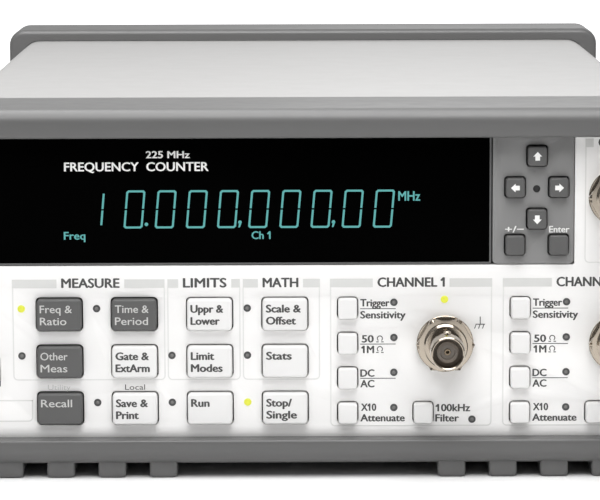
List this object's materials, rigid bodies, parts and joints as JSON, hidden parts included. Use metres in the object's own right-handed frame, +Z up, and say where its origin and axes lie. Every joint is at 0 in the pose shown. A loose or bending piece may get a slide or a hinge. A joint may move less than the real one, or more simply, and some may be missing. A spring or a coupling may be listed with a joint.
{
  "type": "bench frequency counter",
  "caption": "Half-rack bench frequency counter with protective end bumpers, swing handle, dark numeric display, push keys and coaxial input sockets.",
  "frame": {"origin": "on the bench top, under the middle of the counter's overall box with its bumpers and sockets", "axes": "+X to the counter's right as seen from the front, +Y from front to rear, so the front panel faces -Y, +Z up"},
  "size_m": [0.2544, 0.3744, 0.1036],
  "materials": {
    "panel_white": "satin moulded plastic with printed legends",
    "window_black": "dark smoked window, glossy",
    "plate_grey": "satin",
    "bumper_grey": "fine-textured moulded plastic",
    "cover_grey": "light warm grey textured paint",
    "rear_panel_grey": "light warm grey paint",
    "handle_grey": "fine-textured moulded plastic",
    "steel": "zinc-plated sheet",
    "nickel": "bright nickel plate",
    "chrome_wire": "plated wire",
    "black_plastic": "satin",
    "circuit_green": "circuit board lacquer",
    "tube_glass": "fluorescent display tube",
    "mat_rubber": "silicone rubber",
    "supply_metal": "open-frame supply with heat sink",
    "key_white": "satin moulded plastic with printed legends",
    "key_grey": "satin moulded plastic with printed legends"
  },
  "bodies": {
    "counter": {"arrow_key_plate": "plate_grey", "bnc_arm_input": "nickel", "bnc_channel_1": "nickel", "bnc_channel_2": "nickel", "bnc_channel_3": "nickel", "bnc_reference_input": "nickel", "bnc_reference_output": "nickel", "bus_connector": "steel", "chassis": "steel", "cover": "cover_grey", "display_module": "tube_glass", "display_window": "window_black", "fan_frame": "black_plastic", "fan_guard": "chrome_wire", "front_board": "circuit_green", "front_bumper": "bumper_grey", "front_panel": "panel_white", "handle_pivot_left": "handle_grey", "handle_pivot_right": "handle_grey", "key_mat": "mat_rubber", "main_board": "circuit_green", "power_inlet": "black_plastic", "power_supply": "supply_metal", "power_switch": "black_plastic", "rear_bumper": "bumper_grey", "rear_panel": "rear_panel_grey", "serial_connector": "steel"},
    "key_frequency_ratio": {"key_frequency_ratio": "key_grey"},
    "key_time_period": {"key_time_period": "key_grey"},
    "key_upper_lower": {"key_upper_lower": "key_white"},
    "key_scale_offset": {"key_scale_offset": "key_white"},
    "key_other_measure": {"key_other_measure": "key_grey"},
    "key_gate_arm": {"key_gate_arm": "key_white"},
    "key_limit_modes": {"key_limit_modes": "key_white"},
    "key_stats": {"key_stats": "key_white"},
    "key_recall": {"key_recall": "key_grey"},
    "key_save_print": {"key_save_print": "key_white"},
    "key_run": {"key_run": "key_white"},
    "key_stop_single": {"key_stop_single": "key_white"},
    "key_left": {"key_left": "key_grey"},
    "key_right": {"key_right": "key_grey"},
    "key_up": {"key_up": "key_grey"},
    "key_down": {"key_down": "key_grey"},
    "key_sign": {"key_sign": "key_grey"},
    "key_enter": {"key_enter": "key_grey"},
    "key_channel_1_trigger": {"key_channel_1_trigger": "key_white"},
    "key_channel_1_impedance": {"key_channel_1_impedance": "key_white"},
    "key_channel_1_coupling": {"key_channel_1_coupling": "key_white"},
    "key_channel_1_attenuate": {"key_channel_1_attenuate": "key_white"},
    "key_channel_1_filter": {"key_channel_1_filter": "key_white"},
    "key_channel_2_trigger": {"key_channel_2_trigger": "key_white"},
    "key_channel_2_impedance": {"key_channel_2_impedance": "key_white"},
    "key_channel_2_coupling": {"key_channel_2_coupling": "key_white"},
    "key_channel_2_attenuate": {"key_channel_2_attenuate": "key_white"},
    "key_channel_2_filter": {"key_channel_2_filter": "key_white"},
    "power_button": {"power_button": "key_white"},
    "fan_rotor": {"fan_rotor": "black_plastic"},
    "fuse_drawer": {"fuse_drawer": "black_plastic"},
    "handle": {"handle": "handle_grey"}
  },
  "joints": [
    {"name": "key_frequency_ratio_press", "type": "slide", "parent": "counter", "child": "key_frequency_ratio", "axis": [0, 1, 0], "range_m": [0, 0.0015], "stiffness_N_per_m": 800, "springref_m": -0.0003},
    {"name": "key_time_period_press", "type": "slide", "parent": "counter", "child": "key_time_period", "axis": [0, 1, 0], "range_m": [0, 0.0015], "stiffness_N_per_m": 800, "springref_m": -0.0003},
    {"name": "key_upper_lower_press", "type": "slide", "parent": "counter", "child": "key_upper_lower", "axis": [0, 1, 0], "range_m": [0, 0.0015], "stiffness_N_per_m": 800, "springref_m": -0.0003},
    {"name": "key_scale_offset_press", "type": "slide", "parent": "counter", "child": "key_scale_offset", "axis": [0, 1, 0], "range_m": [0, 0.0015], "stiffness_N_per_m": 800, "springref_m": -0.0003},
    {"name": "key_other_measure_press", "type": "slide", "parent": "counter", "child": "key_other_measure", "axis": [0, 1, 0], "range_m": [0, 0.0015], "stiffness_N_per_m": 800, "springref_m": -0.0003},
    {"name": "key_gate_arm_press", "type": "slide", "parent": "counter", "child": "key_gate_arm", "axis": [0, 1, 0], "range_m": [0, 0.0015], "stiffness_N_per_m": 800, "springref_m": -0.0003},
    {"name": "key_limit_modes_press", "type": "slide", "parent": "counter", "child": "key_limit_modes", "axis": [0, 1, 0], "range_m": [0, 0.0015], "stiffness_N_per_m": 800, "springref_m": -0.0003},
    {"name": "key_stats_press", "type": "slide", "parent": "counter", "child": "key_stats", "axis": [0, 1, 0], "range_m": [0, 0.0015], "stiffness_N_per_m": 800, "springref_m": -0.0003},
    {"name": "key_recall_press", "type": "slide", "parent": "counter", "child": "key_recall", "axis": [0, 1, 0], "range_m": [0, 0.0015], "stiffness_N_per_m": 800, "springref_m": -0.0003},
    {"name": "key_save_print_press", "type": "slide", "parent": "counter", "child": "key_save_print", "axis": [0, 1, 0], "range_m": [0, 0.0015], "stiffness_N_per_m": 800, "springref_m": -0.0003},
    {"name": "key_run_press", "type": "slide", "parent": "counter", "child": "key_run", "axis": [0, 1, 0], "range_m": [0, 0.0015], "stiffness_N_per_m": 800, "springref_m": -0.0003},
    {"name": "key_stop_single_press", "type": "slide", "parent": "counter", "child": "key_stop_single", "axis": [0, 1, 0], "range_m": [0, 0.0015], "stiffness_N_per_m": 800, "springref_m": -0.0003},
    {"name": "key_left_press", "type": "slide", "parent": "counter", "child": "key_left", "axis": [0, 1, 0], "range_m": [0, 0.0015], "stiffness_N_per_m": 800, "springref_m": -0.0003},
    {"name": "key_right_press", "type": "slide", "parent": "counter", "child": "key_right", "axis": [0, 1, 0], "range_m": [0, 0.0015], "stiffness_N_per_m": 800, "springref_m": -0.0003},
    {"name": "key_up_press", "type": "slide", "parent": "counter", "child": "key_up", "axis": [0, 1, 0], "range_m": [0, 0.0015], "stiffness_N_per_m": 800, "springref_m": -0.0003},
    {"name": "key_down_press", "type": "slide", "parent": "counter", "child": "key_down", "axis": [0, 1, 0], "range_m": [0, 0.0015], "stiffness_N_per_m": 800, "springref_m": -0.0003},
    {"name": "key_sign_press", "type": "slide", "parent": "counter", "child": "key_sign", "axis": [0, 1, 0], "range_m": [0, 0.0015], "stiffness_N_per_m": 800, "springref_m": -0.0003},
    {"name": "key_enter_press", "type": "slide", "parent": "counter", "child": "key_enter", "axis": [0, 1, 0], "range_m": [0, 0.0015], "stiffness_N_per_m": 800, "springref_m": -0.0003},
    {"name": "key_channel_1_trigger_press", "type": "slide", "parent": "counter", "child": "key_channel_1_trigger", "axis": [0, 1, 0], "range_m": [0, 0.0015], "stiffness_N_per_m": 800, "springref_m": -0.0003},
    {"name": "key_channel_1_impedance_press", "type": "slide", "parent": "counter", "child": "key_channel_1_impedance", "axis": [0, 1, 0], "range_m": [0, 0.0015], "stiffness_N_per_m": 800, "springref_m": -0.0003},
    {"name": "key_channel_1_coupling_press", "type": "slide", "parent": "counter", "child": "key_channel_1_coupling", "axis": [0, 1, 0], "range_m": [0, 0.0015], "stiffness_N_per_m": 800, "springref_m": -0.0003},
    {"name": "key_channel_1_attenuate_press", "type": "slide", "parent": "counter", "child": "key_channel_1_attenuate", "axis": [0, 1, 0], "range_m": [0, 0.0015], "stiffness_N_per_m": 800, "springref_m": -0.0003},
    {"name": "key_channel_1_filter_press", "type": "slide", "parent": "counter", "child": "key_channel_1_filter", "axis": [0, 1, 0], "range_m": [0, 0.0015], "stiffness_N_per_m": 800, "springref_m": -0.0003},
    {"name": "key_channel_2_trigger_press", "type": "slide", "parent": "counter", "child": "key_channel_2_trigger", "axis": [0, 1, 0], "range_m": [0, 0.0015], "stiffness_N_per_m": 800, "springref_m": -0.0003},
    {"name": "key_channel_2_impedance_press", "type": "slide", "parent": "counter", "child": "key_channel_2_impedance", "axis": [0, 1, 0], "range_m": [0, 0.0015], "stiffness_N_per_m": 800, "springref_m": -0.0003},
    {"name": "key_channel_2_coupling_press", "type": "slide", "parent": "counter", "child": "key_channel_2_coupling", "axis": [0, 1, 0], "range_m": [0, 0.0015], "stiffness_N_per_m": 800, "springref_m": -0.0003},
    {"name": "key_channel_2_attenuate_press", "type": "slide", "parent": "counter", "child": "key_channel_2_attenuate", "axis": [0, 1, 0], "range_m": [0, 0.0015], "stiffness_N_per_m": 800, "springref_m": -0.0003},
    {"name": "key_channel_2_filter_press", "type": "slide", "parent": "counter", "child": "key_channel_2_filter", "axis": [0, 1, 0], "range_m": [0, 0.0015], "stiffness_N_per_m": 800, "springref_m": -0.0003},
    {"name": "power_button_press", "type": "slide", "parent": "counter", "child": "power_button", "axis": [0, 1, 0], "range_m": [0, 0.002], "stiffness_N_per_m": 700, "springref_m": -0.0004},
    {"name": "fan_spin", "type": "hinge", "parent": "counter", "child": "fan_rotor", "pos_m": [-0.033, 0.14635, 0.05505], "axis": [0, 1, 0], "continuous": true},
    {"name": "fuse_drawer_slide", "type": "slide", "parent": "counter", "child": "fuse_drawer", "axis": [0, 1, 0], "range_m": [0, 0.012]},
    {"name": "handle_swing", "type": "hinge", "parent": "counter", "child": "handle", "pos_m": [0, -0.05165, 0.05505], "axis": [-1, 0, 0], "range_deg": [0, 162.3]}
  ]
}
